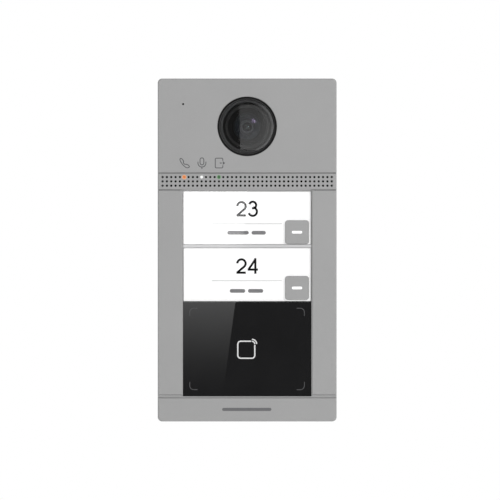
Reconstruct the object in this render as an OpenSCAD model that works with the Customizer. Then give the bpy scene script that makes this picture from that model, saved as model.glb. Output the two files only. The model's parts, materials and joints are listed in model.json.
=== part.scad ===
// Surface-mounted door intercom panel for two homes: camera, speaker grille,
// two name plates with call buttons, card reader, rear housing and wall plate.
// The origin is the middle of the wall-screw pattern, on the wall. +Z is up,
// +X is to the right as a visitor sees the panel, and the front looks along -Y.
// Most places are given as [x, depth, z], depth counted back from the front face.

/* [Housing] */
// Width of the housing
body_w = 90; // [90:0.5:94]
// Height of the housing
body_h = 172.6; // [172.6:0.2:180]
// Depth from the wall to the front face
body_d = 27; // [27:0.5:32]
// Radius of the four corners, seen from the front
corner_r = 2.2; // [1.4:0.1:3]
// Rounding of the front edges
edge_r = 0.8; // [0.4:0.1:1.2]
// Thickness of the metal front
skin = 1.6; // [1.4:0.1:1.6]
// Thickness of the metal sides
wall = 1.8; // [1.4:0.1:2]
// Thickness of the rear cover
cover_wall = 2; // [1.6:0.1:2.2]

/* [Front layout] */
// Height of the seam over the grille bar
seam_high_z = 38.7; // [38.4:0.1:39]
// Height of the seam under the grille bar
seam_low_z = 30.2; // [30:0.1:30.4]
// Gap between two front pieces
seam = 0.2; // [0.1:0.05:0.3]
// Bevel beside each seam
seam_bevel = 0.4; // [0.2:0.1:0.5]
// Width of the window opening
window_w = 64.7; // [64:0.1:65]
// Top of the window opening
window_top = 29.7; // [29.4:0.1:29.8]
// Bottom of the window opening
window_low = -73.65; // [-73.8:0.05:-73.5]
// Bevel along the sides of the window opening
window_bevel = 0.7; // [0.4:0.1:0.9]
// Top of the groove over the bottom trim
groove_top = -72.9; // [-73.1:0.1:-72.7]
// Top of the bottom trim
trim_top = -74.4; // [-74.6:0.1:-74.2]
// Depth of that groove
groove_depth = 0.8; // [0.5:0.1:0.9]
// How far the windows stand back from the front face
window_recess = 0.6; // [0.5:0.05:0.65]

/* [Name plates and reader] */
// Top of the rib between the two name plates
rib_top = 2.69; // [2.6:0.01:2.8]
// Bottom of that rib
rib_low = 1.21; // [1.1:0.01:1.3]
// Top of the card reader
reader_top = -26.03; // [-26.2:0.01:-25.9]
// Side of the square call buttons
button_w = 11.74; // [11:0.02:12]
// Corner radius of the call buttons
button_r = 1.3; // [1:0.1:1.8]
// Sideways place of the call buttons
button_x = 25.1; // [24.8:0.1:25.3]
// Height of the upper call button
button_upper_z = 8.96; // [8.8:0.02:9.6]
// Height of the lower call button
button_lower_z = -19.1; // [-19.2:0.1:-18.4]
// Gap round a call button
button_gap = 0.15; // [0.1:0.05:0.2]
// How far a call button travels
button_travel = 0.8; // [0.4:0.1:0.8]

/* [Camera] */
// Height of the camera
camera_z = 62.2; // [61.8:0.1:62.6]
// Outer radius of the camera bezel
bezel_r = 14.9; // [14.7:0.1:15]
// How far the bezel stands out from the front face
bezel_proud = 0.25; // [0.1:0.05:0.4]
// Radius of the round camera window
glass_r = 13.6; // [13.4:0.05:13.65]
// Radius of the lens barrel's front
lens_r = 6.9; // [6.7:0.1:6.9]

/* [Grille] */
// Number of holes in a row
grille_columns = 40; // [30:1:40]
// Distance between two holes along a row
grille_pitch = 2.183; // [2.1:0.001:2.19]
// Distance between two rows
row_pitch = 2.165; // [2.1:0.005:2.2]
// Height of the top row
row_top_z = 36.7; // [36.5:0.05:36.9]
// Radius of a hole
hole_r = 0.57; // [0.45:0.01:0.6]

/* [Wall plate] */
// Thickness of the wall plate
plate_t = 1.5; // [1.2:0.1:1.5]
// Distance between the wall screws, sideways
screw_span_x = 60; // [58:0.5:62]
// Distance between the wall screws, up and down
screw_span_z = 120; // [116:1:124]
// Radius of the wall-screw holes
screw_hole_r = 2.25; // [1.8:0.05:2.4]
// Distance between the two junction-box slots
box_span = 60; // [60:0.1:60.6]
// Travel of a screw in a junction-box slot
box_slot = 6; // [4:0.5:6]
// Radius of those slots' ends
box_slot_r = 2; // [1.6:0.1:2]

/* [Hidden] */
$fn = 48;

CUT = 1;                       // how far a cutter runs past what it cuts
PLAY = 0.1;                    // gap between fixed pieces
half_w = body_w / 2;
top_z = body_h / 2;
front_deep = 12;               // depth of the metal front pieces
gasket_t = 0.4;
web_d = 7.4;                   // depth of the inner frame's web
web_t = 1.6;
frame_half_w = half_w - wall - 0.3;
frame_half_h = top_z - wall - 0.3;
flange_t = 1.6;
board_d = 12.6;                // depth of the main board
board_t = 1.6;
board_back = board_d + board_t;
board_half_w = 35;
board_top = 46;
board_low = -80;
cover_d = front_deep + gasket_t;
cover_half_w = half_w - 1;
cover_half_h = top_z - 1;
cover_r = 1.8;
back_d = 20.5;                 // depth of the rear cover's back wall
back_t = 2;
rim_d = body_d - 1;            // where the rear cover ends and the wall gasket begins
plate_d = body_d - plate_t;
plate_half_w = 41;
plate_half_h = 82;

tongue_t = 1;                  // lap behind a seam
tongue_d = skin + PLAY;
post_r = 3.2;
fascia_boss_r = 2.2;
fascia_screw_x = [22, 38.5, 38.5, 38.5, 20];
fascia_screw_z = [78, 41, 20, -55, -80.5];
cover_screw_x = 38.5;
cover_screw_z = [-78, 0, 78];
board_screw_x = 31.5;
board_screw_z = [42.5, -75];
shroud_r = 11.2;
camera_screw = 12.5;           // camera board's screws, from the lens axis

speaker_x = 12;
speaker_z = 40.5;
speaker_w = 36;
speaker_h = 16;
guide_columns = [5, 9, 13];    // grille holes of the top row that hold light guides
guide_r = 1.5;
mic_x = -32.2;
mic_z = 73.4;
mic_hole_r = 0.5;
mic_boot_r = 4.2;

window_t = 1.5;
card_d = 2.15;
card_t = 0.25;
diffuser_d = 2.5;
diffuser_t = 2;
tray_d = tongue_d;
tray_back = 6.1;
tray_half_w = 34;
tray_top = 31;
tray_low = -27.4;
tray_ledge = 1.1;
front_board_d = 6.2;
flange_hole_w = 13.8;          // holes round a call button's flange
flange_w = 13.2;
button_d = 0.4;
flange_d = 2.5;
flange_back = 3;
button_back = 3.85;
switch_d = 4.7;
switch_w = 6.2;
plunger_r = 1.7;
plunger_l = 1.2;
switch_bore_back = button_back + plunger_l + button_travel + 0.1;
bar_w = 5.2;                   // light bar in a call button
bar_h = 1.3;

reader_t = 2;
coil_d = 2.95;
coil_t = 0.15;
coil_turns = 4;
coil_pitch = 1.4;
coil_strip = 0.8;
reader_board_d = coil_d + coil_t;
reader_board_t = 1.2;

well_half_w = 22;              // wiring well in the rear cover
well_low = -30;
well_top = 19;
well_d = 16.2;
well_wall = 1.6;
jack_w = 16;
jack_h = 13.4;
jack_tall = 11;
jack_x = 11.5;
jack_low = 5;
block_w = 8;
block_x = -20;
block_low = -14;
block_poles = 8;
block_pitch = 3.5;
block_tall = 9;

hook_x = 25;
hook_w = 12;
hook_z = 70;
hook_rise = 4.5;
hook_tip_d = 18.9;
hook_slot_h = 5.5;
lock_d = 21.5;
lock_tab_z = -78;
lock_tab_w = 10;
lock_tab_d = 17.6;
lock_r = 1.45;

tamper_x = -30;
tamper_z = -45;
tamper_r = 2;
tamper_fit = 0.08;
tamper_collar_d = 19;
spring_r = 3.4;
spring_wire_r = 0.25;
spring_turns = 4;
spring_sides = 6;
spring_steps = 20;             // rings in each turn of the spring

steel = "lightgrey";
satin_grey = "darkgrey";
dark = "dimgrey";
jet = "#202020";
board_green = "darkgreen";
clear = "lightblue";

function grille_x(i) = (i - (grille_columns - 1) / 2) * grille_pitch;

// --- shared shapes ---

// Places a piece at a point given by its depth behind the front face
module at(x, depth, z) {
    translate([x, depth - body_d, z]) children();
}

// A flat outline drawn with x and z, made t thick from depth 0 to depth t
module thick(t) {
    rotate([90, 0, 0]) translate([0, 0, -t]) linear_extrude(height = t) children();
}

module round_rect(w, h, r) {
    square([w - 2 * r, h], center = true);
    square([w, h - 2 * r], center = true);
    for (x = [-1, 1], z = [-1, 1])
        translate([x * (w / 2 - r), z * (h / 2 - r)]) circle(r = r, $fn = 24);
}

// A rounded plate between two heights, centred on x
module panel(half_width, low, high, t, r) {
    translate([0, 0, (low + high) / 2])
        thick(t) round_rect(2 * half_width, high - low, r);
}

// A box from its left, front and lower corner
module block(x0, x1, d0, d1, z0, z1) {
    at(x0, d0, z0) cube([x1 - x0, d1 - d0, z1 - z0]);
}

// A round rod that runs back from depth 0
module rod(r, l) {
    rotate([-90, 0, 0]) cylinder(r = r, h = l);
}

// A turned piece: points are [radius, depth]
module turned(points, steps = 96) {
    rotate([-90, 0, 0]) rotate_extrude($fn = steps) polygon(points);
}

// A bar with two round ends, w wide over its ends
module stadium(w, h) {
    square([w - h, h], center = true);
    for (x = [-1, 1]) translate([x * (w - h) / 2, 0]) circle(d = h, $fn = 24);
}

module both_sides() {
    for (side = [-1, 1]) scale_side(side) children();
}

module scale_side(side) {
    mirror([side < 0 ? 1 : 0, 0, 0]) children();
}

// --- metal front ---

// Section of the front, across x and depth, with rounded front edges
module front_section() {
    translate([-half_w, edge_r]) square([body_w, front_deep - edge_r]);
    translate([edge_r - half_w, 0]) square([body_w - 2 * edge_r, front_deep]);
    for (side = [-1, 1])
        translate([side * (half_w - edge_r), edge_r]) circle(r = edge_r, $fn = 32);
}

// The front drawn straight from one height to another
module front_bar(low, high) {
    translate([0, -body_d, low]) linear_extrude(height = high - low) front_section();
}

// A long cutter across the front: points are [depth, height]
module across_cut(points, length) {
    translate([-length / 2, -body_d, 0]) rotate([90, 0, 90])
        linear_extrude(height = length) polygon(points);
}

// Bevel of the front edge at a seam: dir is 1 at a top end, -1 at a lower end
module seam_cut(z, dir) {
    across_cut([[-CUT, z - dir * (seam_bevel + CUT)], [seam_bevel + CUT, z + dir * CUT],
        [-CUT, z + dir * CUT]], body_w + 2 * CUT);
}

// Rounded end of the housing at its very top or bottom
module round_end(z) {
    arc = [for (a = [0:15:90])
        [corner_r - edge_r + edge_r * sin(a), edge_r - edge_r * cos(a)]];
    for (side = [-1, 1])
        at(side * (half_w - corner_r), 0, z)
            turned(concat([[0, 0]], arc, [[corner_r, front_deep], [0, front_deep]]), 32);
}

module fascia_boss(x, z, start) {
    both_sides() at(x, start, z) rod(fascia_boss_r, web_d - start);
}

module fascia_pilot(x, z) {
    both_sides() at(x, web_d - 4.2, z) rod(1, 4.2 + CUT);
}

// Space inside the metal front between two heights
module front_space(low, high) {
    block(wall - half_w, half_w - wall, skin, front_deep + CUT, low, high);
}

module upper_fascia() {
    low = seam_high_z + seam / 2;
    color(satin_grey) difference() {
        union() {
            difference() {
                hull() {
                    round_end(top_z - corner_r);
                    front_bar(low, low + 1);
                }
                front_space(low - CUT, top_z - wall);
                seam_cut(low, -1);
            }
            fascia_boss(fascia_screw_x[0], fascia_screw_z[0], skin);
        }
        fascia_pilot(fascia_screw_x[0], fascia_screw_z[0]);
        at(0, -CUT, camera_z) rod(bezel_r + PLAY, skin + 2 * CUT, $fn = 96);
        at(mic_x, -CUT, mic_z) rod(mic_hole_r, skin + 2 * CUT, $fn = 24);
    }
}

module grille_holes() {
    for (row = [0:2], i = [0:grille_columns - 1])
        at(grille_x(i), -CUT, row_top_z - row * row_pitch)
            rod(hole_r, skin + 2 * CUT, $fn = 16);
}

module grille_bar() {
    high = seam_high_z - seam / 2;
    low = seam_low_z + seam / 2;
    lip_bevel_h = 1.3;
    lip_bevel_d = 1;
    color(satin_grey) difference() {
        union() {
            difference() {
                front_bar(window_top, high);
                front_space(window_top - CUT, high + CUT);
                seam_cut(high, 1);
                both_sides() block(window_w / 2, half_w + CUT, -CUT, front_deep + CUT,
                    window_top - CUT, low);
                both_sides() intersection() {
                    seam_cut(low, -1);
                    block(window_w / 2, half_w + CUT, -CUT, CUT, low - CUT, low + CUT);
                }
            }
            // laps behind the two seams
            block(-frame_half_w, frame_half_w, tongue_d, tongue_d + tongue_t,
                high - 0.3, fascia_screw_z[1] + 2.6);
            block(-frame_half_w, frame_half_w, skin - 0.2, tongue_d + tongue_t,
                high - 0.6, high);
            both_sides() block(tray_half_w + 0.4, frame_half_w, skin - 0.2,
                tongue_d + tongue_t, low, low + 0.6);
            both_sides() block(tray_half_w + 0.4, frame_half_w, tongue_d,
                tongue_d + tongue_t, low - 2.4, low + 0.3);
            fascia_boss(fascia_screw_x[1], fascia_screw_z[1], tongue_d);
        }
        fascia_pilot(fascia_screw_x[1], fascia_screw_z[1]);
        grille_holes();
        // bevel over the name plates
        across_cut([[-CUT, window_top - CUT], [lip_bevel_d, window_top - CUT],
            [lip_bevel_d, window_top], [0, window_top + lip_bevel_h],
            [-CUT, window_top + lip_bevel_h]], window_w);
    }
}

module lower_fascia() {
    high = seam_low_z - seam / 2;
    low = trim_top + 0.1;
    edge = window_w / 2;
    color(satin_grey) difference() {
        union() {
            difference() {
                front_bar(groove_top, high);
                front_space(groove_top - CUT, high + CUT);
                seam_cut(high, 1);
                seam_cut(groove_top, -1);
            }
            // groove floor and the lap behind the bottom trim
            difference() {
                block(-half_w, half_w, groove_depth, front_deep, low, groove_top + 0.1);
                front_space(low - CUT, groove_top + CUT);
            }
            block(-frame_half_w, frame_half_w, tongue_d, tongue_d + 1.4,
                low - 2.4, window_low);
            block(-frame_half_w, frame_half_w, skin - 0.2, tongue_d + 0.2,
                low, window_low);
            fascia_boss(fascia_screw_x[2], fascia_screw_z[2], skin);
            fascia_boss(fascia_screw_x[3], fascia_screw_z[3], skin);
        }
        fascia_pilot(fascia_screw_x[2], fascia_screw_z[2]);
        fascia_pilot(fascia_screw_x[3], fascia_screw_z[3]);
        block(-edge, edge, -CUT, 4, window_low, high + CUT);
        both_sides() translate([0, -body_d, groove_top - CUT])
            linear_extrude(height = high - groove_top + 2 * CUT)
                polygon([[edge - CUT, -CUT], [edge + window_bevel, -CUT],
                    [edge + window_bevel, 0], [edge, 0.5], [edge - CUT, 0.5]]);
    }
}

module bottom_trim() {
    color(satin_grey) difference() {
        union() {
            difference() {
                hull() {
                    round_end(corner_r - top_z);
                    front_bar(trim_top - 1, trim_top);
                }
                front_space(wall - top_z, trim_top + CUT);
                seam_cut(trim_top, 1);
            }
            fascia_boss(fascia_screw_x[4], fascia_screw_z[4], skin);
        }
        fascia_pilot(fascia_screw_x[4], fascia_screw_z[4]);
    }
}

// --- frame inside the front ---

module inner_frame() {
    color(jet) difference() {
        union() {
            difference() {
                at(0, web_d, 0)
                    panel(frame_half_w, -frame_half_h, frame_half_h,
                        front_deep - web_d - 0.05, 1);
                at(0, web_d + web_t, 0)
                    panel(frame_half_w - flange_t, flange_t - frame_half_h,
                        frame_half_h - flange_t, front_deep, 0.6);
            }
            for (z = cover_screw_z)
                both_sides() at(cover_screw_x, web_d, z) rod(post_r, cover_d - web_d - 0.1);
            for (z = board_screw_z)
                both_sides() at(board_screw_x, web_d, z) rod(2.8, board_d - web_d);
            for (z = [-camera_screw, camera_screw])
                both_sides() at(camera_screw, web_d, camera_z + z) rod(2.4, 16 - web_d);
            // posts under the card reader
            for (z = [-66, -34])
                both_sides() at(24, reader_board_d + reader_board_t, z)
                    rod(2.2, web_d - reader_board_d - reader_board_t + 0.2);
        }
        for (z = cover_screw_z)
            both_sides() at(cover_screw_x, web_d - CUT, z) rod(1.5, front_deep);
        for (z = board_screw_z)
            both_sides() at(board_screw_x, web_d + web_t, z) rod(1.25, front_deep);
        for (z = [-camera_screw, camera_screw])
            both_sides() at(camera_screw, web_d + web_t, camera_z + z) rod(1.25, front_deep);
        for (i = [0:4])
            both_sides() at(fascia_screw_x[i], web_d - CUT, fascia_screw_z[i])
                rod(1.1, web_t + 2 * CUT);
        at(0, web_d - CUT, camera_z) rod(8.2, web_t + 2 * CUT);
        at(speaker_x, web_d - CUT, speaker_z)
            thick(web_t + 2 * CUT) stadium(speaker_w - 3, speaker_h - 3);
        for (i = guide_columns)
            at(grille_x(i), web_d - CUT, row_top_z) rod(guide_r + 0.2, web_t + 2 * CUT);
        // slot for the front board's ribbon
        block(-8, 8, web_d - CUT, web_d + web_t + CUT, -12, -9);
    }
}

module fascia_screws() {
    color(steel) for (i = [0:4])
        both_sides() at(fascia_screw_x[i], 0, fascia_screw_z[i]) difference() {
            turned([[0, 3.4], [0.95, 3.9], [0.95, 9], [1.9, 9], [1.9, 9.9], [1.6, 10.4],
                [0, 10.4]], 32);
            translate([-1.2, 9.8, -0.2]) cube([2.4, 1, 0.4]);
            translate([-0.2, 9.8, -1.2]) cube([0.4, 1, 2.4]);
        }
}

// --- camera ---

module camera_bezel() {
    color(dark) at(0, 0, camera_z)
        turned([[glass_r + 0.1, 0.3], [glass_r + 0.35, -bezel_proud],
            [bezel_r - 0.6, -bezel_proud], [bezel_r, 0.3], [bezel_r, tongue_d],
            [bezel_r + 1, tongue_d], [bezel_r + 1, 2.7], [13.2, 2.7], [13.2, 4.9],
            [10, 4.9], [10, 3.95], [shroud_r + 0.1, 3.95], [shroud_r + 0.1, 2.4],
            [12.1, 1.2], [glass_r + 0.1, 1.2]]);
}

module camera_window() {
    color(clear) at(0, 0, camera_z)
        turned([[0, 0.05], [glass_r - 0.3, 0.05], [glass_r, 0.35], [glass_r, 0.85],
            [0, 0.85]]);
}

module camera_seal() {
    color(jet) at(0, 0, camera_z)
        turned([[12.2, 0.85], [glass_r, 0.85], [glass_r, 1.2], [12.2, 1.2]]);
}

module camera_shroud() {
    color(dark) at(0, 0, camera_z)
        turned([[lens_r + PLAY, 2.95], [10.3, 2.95], [10.5, 2.5], [shroud_r, 2.5],
            [shroud_r, 3.95], [lens_r + PLAY, 3.95]]);
}

module lens_barrel() {
    color(jet) at(0, 0, camera_z)
        turned([[4.3, 3.4], [lens_r - 0.2, 3.4], [lens_r, 3.6], [lens_r, 6], [6, 6],
            [6, 13.2], [4, 13.2], [4, 5.6], [4.3, 5.6]]);
}

module lens_front_element() {
    rim_r = 6.1;
    crown = 1.3;
    ball_r = (rim_r * rim_r + crown * crown) / (2 * crown);
    half_angle = asin(rim_r / ball_r);
    dome = [for (i = [0:8]) let (a = half_angle * i / 8)
        [ball_r * sin(a), 1.9 + ball_r * (1 - cos(a))]];
    color(clear) at(0, 0, camera_z)
        turned(concat(dome, [[rim_r, 3.4], [0, 3.4]]));
}

module lens_holder() {
    base_w = 16;
    color(jet) at(0, 0, camera_z) difference() {
        union() {
            turned([[0, 9.6], [7.6, 9.6], [7.6, 14.5], [0, 14.5]]);
            translate([-base_w / 2, 13.8, -base_w / 2]) cube([base_w, 2.2, base_w]);
        }
        translate([0, 9, 0]) rod(6.05, 6);
        translate([-6, 14.6, -6]) cube([12, 3, 12]);
    }
}

module image_sensor() {
    color(dark) at(0, 15, camera_z)
        translate([-4.4, 0, -3.9]) cube([8.8, 1, 7.8]);
}

module camera_board() {
    color(board_green) at(0, 16, camera_z) difference() {
        union() {
            panel(15, -15, 15, 1.2, 1);
            translate([-6, 1.2, -13.2]) cube([12, 1.2, 3]);
            translate([-3.5, 1.2, -3]) cube([7, 1, 7]);
        }
        for (x = [-camera_screw, camera_screw], z = [-camera_screw, camera_screw])
            translate([x, -CUT, z]) rod(1.3, 4);
    }
}

module camera_flex() {
    t = 0.25;
    // outline across depth and height, from the camera board to the main board
    color("orange") translate([-5, -body_d, 0]) rotate([90, 0, 90])
        linear_extrude(height = 10)
            polygon([[18.4, 51], [18.4 + t, 51], [18.4 + t, 47.6], [15.6 + t, 42],
                [15.6 + t, 38], [15.6, 38], [15.6, 42.1], [18.4, 47.7]]);
}

// --- microphone and speaker ---

module microphone() {
    color(steel) at(mic_x, 0, mic_z)
        turned([[0, 3.3], [3, 3.3], [3, 6], [0.8, 6], [0.8, 6.6], [0, 6.6]], 48);
}

module microphone_boot() {
    color(jet) at(mic_x, 0, mic_z)
        turned([[0.6, tongue_d], [2.2, tongue_d], [mic_boot_r, 3], [mic_boot_r, 7.3],
            [3.05, 7.3], [3.05, 3.25], [0.6, 3.25]], 48);
}

module speaker_frame() {
    color(jet) at(speaker_x, 0, speaker_z) difference() {
        union() {
            translate([0, 6.4, 0]) thick(1) stadium(speaker_w, speaker_h);
            translate([0, 7, 0]) thick(3.2) stadium(speaker_w - 3.6, speaker_h - 3.6);
        }
        translate([0, 6, 0]) thick(3.2) stadium(speaker_w - 6, speaker_h - 6);
        translate([0, 9, 0]) thick(2) stadium(24, 7.2);
    }
}

module speaker_cone() {
    color("silver") at(speaker_x, 0, speaker_z) difference() {
        union() {
            translate([0, 6.5, 0]) thick(0.5) stadium(speaker_w - 6.2, speaker_h - 6.2);
            translate([0, 6.5, 0]) thick(1.8) stadium(20, 6);
        }
        translate([0, 6, 0]) thick(1.6) stadium(18.6, 4.6);
    }
}

module speaker_magnet() {
    color(steel) at(speaker_x, 0, speaker_z) {
        translate([0, 8.6, 0]) thick(1.8) stadium(23.8, 7);
        translate([0, 10.2, 0]) thick(2) stadium(28, 9.6);
    }
}

module speaker_gasket() {
    color(jet) at(speaker_x, 5.3, speaker_z) difference() {
        thick(1.1) stadium(speaker_w, speaker_h);
        translate([0, -CUT, 0]) thick(1.1 + 2 * CUT) stadium(speaker_w - 4, speaker_h - 4);
    }
}

module grille_mesh() {
    color(jet) difference() {
        block(0.6 - frame_half_w, frame_half_w - 0.6, skin + 0.05, skin + 0.35,
            tray_top + 0.3, seam_high_z - 0.8);
        for (i = guide_columns)
            at(grille_x(i), 0, row_top_z) rod(0.7, 4, $fn = 24);
    }
}

module indicator_guide(index) {
    tip_r = hole_r - 0.03;
    color(clear) at(grille_x(guide_columns[index]), 0, row_top_z)
        turned([[0, 0.02], [tip_r, 0.02], [tip_r, 2.1], [guide_r, 2.7], [guide_r, 11.5],
            [0, 11.5]], 32);
}

module indicator_leds() {
    color("white") for (i = guide_columns)
        at(grille_x(i), board_d - 0.9, row_top_z) translate([-1.6, 0, -0.8])
            cube([3.2, 0.9, 1.6]);
}

// --- name plates ---

module button_hole(z, w, r) {
    at(button_x, -CUT, z) thick(12) round_rect(w, w, r);
}

// One layer of a name plate, between two heights
module plate_layer(depth, t, half_width, low, high, button_z, hole_w, hole_corner) {
    difference() {
        at(0, depth, 0) panel(half_width, low, high, t, 0.3);
        button_hole(button_z, hole_w, hole_corner);
    }
}

module name_window(low, high, button_z) {
    color(clear) plate_layer(window_recess, window_t, window_w / 2 - PLAY / 2, low, high,
        button_z, button_w + 2 * button_gap, button_r + button_gap);
}

module name_card(low, high, button_z) {
    color("white") plate_layer(card_d, card_t, window_w / 2 - 0.3, low + 0.2, high - 0.2,
        button_z, button_w + 2 * button_gap, button_r + button_gap);
}

module name_diffuser(low, high, button_z) {
    color("ivory") plate_layer(diffuser_d, diffuser_t, window_w / 2 - 0.3, low + 0.2,
        high - 0.2, button_z, flange_hole_w, 1);
}

module label_tray() {
    pocket = window_w / 2;
    rib_half = pocket - PLAY;
    color("whitesmoke") difference() {
        union() {
            block(-tray_half_w, tray_half_w, tray_d, tray_back, rib_low, tray_top);
            block(-tray_half_w, tray_half_w, tray_d, tray_back, reader_top + 0.1, rib_low);
            block(-tray_half_w, tray_half_w, 2.7, tray_back, tray_low, reader_top + 0.1);
            block(-rib_half, rib_half, 0.7, tray_back, rib_low, rib_top);
        }
        block(-pocket, pocket, 0, diffuser_d + diffuser_t + 0.05, rib_top,
            window_top + 0.05);
        block(-pocket, pocket, 0, diffuser_d + diffuser_t + 0.05, reader_top, rib_low);
        block(tray_ledge - pocket, pocket - tray_ledge, 0, tray_back + CUT,
            rib_top + tray_ledge, window_top - tray_ledge);
        block(tray_ledge - pocket, pocket - tray_ledge, 0, tray_back + CUT,
            reader_top + tray_ledge, rib_low - tray_ledge);
        for (z = [button_upper_z, button_lower_z])
            at(button_x, flange_d - PLAY, z)
                thick(tray_back) round_rect(flange_hole_w, flange_hole_w, 1);
    }
}

module front_board() {
    color(board_green) {
        at(0, front_board_d, 0) panel(33.5, -27, 29.5, web_d - front_board_d, 1);
        // backlight lamps and the ribbon to the main board
        for (x = [-24:12:12], z = [22, -5.5])
            block(x - 1.4, x + 1.4, front_board_d - 0.8, front_board_d + 0.2,
                z - 0.8, z + 0.8);
        block(-7, 7, web_d - 0.2, board_d - PLAY, -10.8, -10.4);
    }
}

module button_switches() {
    color(jet) for (z = [button_upper_z, button_lower_z]) difference() {
        block(button_x - switch_w / 2, button_x + switch_w / 2, switch_d,
            front_board_d, z - switch_w / 2, z + switch_w / 2);
        at(button_x, switch_d - CUT, z) rod(plunger_r + 0.1, switch_bore_back - switch_d + CUT);
    }
}

module call_button(z) {
    color(satin_grey) at(button_x, 0, z) difference() {
        union() {
            translate([0, button_d, 0])
                thick(flange_back - button_d) round_rect(button_w, button_w, button_r);
            translate([0, flange_d, 0])
                thick(flange_back - flange_d) round_rect(flange_w, flange_w, 0.8);
            translate([0, flange_back - 0.2, 0]) rod(2.5, button_back - flange_back + 0.2);
        }
        thick(flange_back - 0.05) stadium(bar_w + 0.04, bar_h + 0.04);
    }
}

module light_bar(z) {
    color("white") at(button_x, button_d - 0.02, z) thick(2.5) stadium(bar_w, bar_h);
}

module switch_plunger(z) {
    color("ivory") at(button_x, button_back, z) rod(plunger_r, plunger_l);
}

module return_pad(z) {
    color("gainsboro") at(button_x, 0, z)
        turned([[4.6, front_board_d - 0.05], [4.6, flange_back + 1.1],
            [4.9, flange_back + 0.05], [5.9, flange_back + 0.05],
            [6.2, flange_back + 1.1], [6.2, front_board_d - 0.05]], 48);
}

// --- card reader ---

module reader_window() {
    color(jet) at(0, window_recess, 0)
        panel(window_w / 2 - PLAY / 2, window_low + PLAY, reader_top - 0.05, reader_t, 0.3);
}

module reader_board() {
    color(board_green) at(0, reader_board_d, 0)
        panel(31, -71.5, -28.5, reader_board_t, 1);
}

module antenna_coil() {
    color("orange") for (i = [0:coil_turns - 1]) {
        inset = i * coil_pitch;
        w = 58 - 2 * inset;
        h = 39 - 2 * inset;
        at(0, coil_d, -50) difference() {
            thick(coil_t) round_rect(w, h, 3);
            translate([0, -CUT, 0])
                thick(coil_t + 2 * CUT) round_rect(w - 2 * coil_strip, h - 2 * coil_strip, 2.2);
        }
    }
}

// --- boards and connections ---

module main_board() {
    color(board_green) difference() {
        at(0, board_d, 0) panel(board_half_w, board_low, board_top, board_t, 1.5);
        for (z = board_screw_z)
            both_sides() at(board_screw_x, board_d - CUT, z) rod(1.4, board_t + 2 * CUT);
    }
}

module capacitor(x, z) {
    at(x, board_back, z) {
        turned([[0, 0], [3.1, 0], [3.1, 5.2], [2.9, 5.5], [0, 5.5]], 32);
        translate([-3.3, 0, -3.3]) cube([6.6, 0.8, 6.6]);
    }
}

// Shield can, relay, chips, capacitors and connectors on the main board
module board_parts() {
    color("silver") {
        block(-14, 12, board_back, board_back + 2.6, -66, -42);
        for (x = [-26, -18, -10]) capacitor(x, 30);
    }
    color(jet) {
        block(16, 31, board_back, board_back + 5.6, -52, -42);
        block(16, 28, board_back, board_back + 4, 25, 34);
        block(17, 25, board_back, board_back + 1.4, -68, -60);
        block(-6, 6, board_back, board_back + 1.3, 37.5, 40.5);
        block(-5, 5, board_back, board_back + 3.4, 24, 34);
    }
    // forked light barrier that the tamper plunger's blade moves in
    color(dark) at(tamper_x, board_back, tamper_z) difference() {
        translate([-2, 0, -1.6]) cube([4, 2.1, 3.2]);
        translate([-0.8, 0.3, -2]) cube([1.6, 4, 4]);
    }
}

module ethernet_port() {
    color("silver") difference() {
        block(jack_x - jack_w / 2, jack_x + jack_w / 2, board_back,
            board_back + jack_tall, jack_low, jack_low + jack_h);
        block(jack_x - 6, jack_x + 6, board_back + 2.6, board_back + 9.4,
            jack_low - CUT, jack_low + 11.4);
        block(jack_x - 3.1, jack_x + 3.1, board_back + 1, board_back + 3,
            jack_low - CUT, jack_low + 10);
    }
}

module terminal_block() {
    pole_z = function(i) block_low + (i + 0.6) * block_pitch;
    color("seagreen") difference() {
        block(block_x, block_x + block_w, board_back, board_back + block_tall,
            block_low, block_low + (block_poles + 0.2) * block_pitch);
        for (i = [0:block_poles - 1]) {
            block(block_x + 2.6, block_x + block_w + CUT, board_back + 1.6,
                board_back + 4.4, pole_z(i) - 1.3, pole_z(i) + 1.3);
            at(block_x + 4, board_back + block_tall - 1.6, pole_z(i)) rod(1.35, 3);
        }
    }
    color(steel) for (i = [0:block_poles - 1])
        at(block_x + 4, board_back + block_tall - 1.6, pole_z(i)) difference() {
            rod(1.35, 1);
            translate([-1.5, 0.5, -0.2]) cube([3, 1, 0.4]);
        }
}

// --- rear housing ---

module box_pocket(x, w, low, high, depth, t) {
    block(x - w / 2 - t, x + w / 2 + t, depth - t, back_d + back_t, low - t, high + t);
}

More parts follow.
